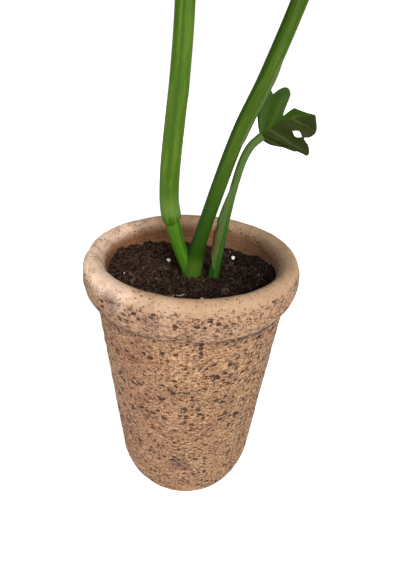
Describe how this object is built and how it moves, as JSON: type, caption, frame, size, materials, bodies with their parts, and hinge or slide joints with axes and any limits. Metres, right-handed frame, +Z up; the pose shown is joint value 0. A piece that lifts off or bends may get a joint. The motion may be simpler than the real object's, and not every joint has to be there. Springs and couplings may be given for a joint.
{
  "type": "potted monstera plant",
  "caption": "Young monstera with split leaves on thick green petioles, growing in dark soil in a tall round unglazed clay pot with a heavy rolled rim.",
  "frame": {"origin": "centre of the pot's flat foot, on the surface that it stands on", "axes": "+Z up along the pot's axis; -Y is the front that the main view shows; +X is to the right, where the middle petiole and the young leaf lean"},
  "size_m": [0.4163, 0.2294, 0.52],
  "materials": {
    "clay": "unglazed matt clay, speckled",
    "soil": "moist crumbly potting soil",
    "cane_green": "smooth satin",
    "petiole_light_green": "smooth satin with fine lengthwise streaks",
    "petiole_green": "smooth satin",
    "petiole_dark_green": "smooth satin",
    "leaf_green": "leathery satin gloss",
    "young_leaf_green": "satin",
    "sheath_green": "matt",
    "sheath_pale": "matt, dry brown along its edge",
    "perlite": "porous matt",
    "bark": "rough matt"
  },
  "bodies": {
    "root": {"pot": "clay", "soil": "soil", "cane": "cane_green", "left_petiole": "petiole_light_green", "middle_petiole": "petiole_green", "right_petiole": "petiole_dark_green", "left_leaf": "leaf_green", "middle_leaf": "leaf_green", "young_leaf": "young_leaf_green", "middle_sheath": "sheath_green", "right_sheath": "sheath_pale", "perlite_1": "perlite", "perlite_2": "perlite", "perlite_3": "perlite", "perlite_4": "perlite", "perlite_5": "perlite", "perlite_6": "perlite", "bark_chip_1": "bark", "bark_chip_2": "bark", "bark_chip_3": "bark", "bark_chip_4": "bark"}
  },
  "joints": []
}
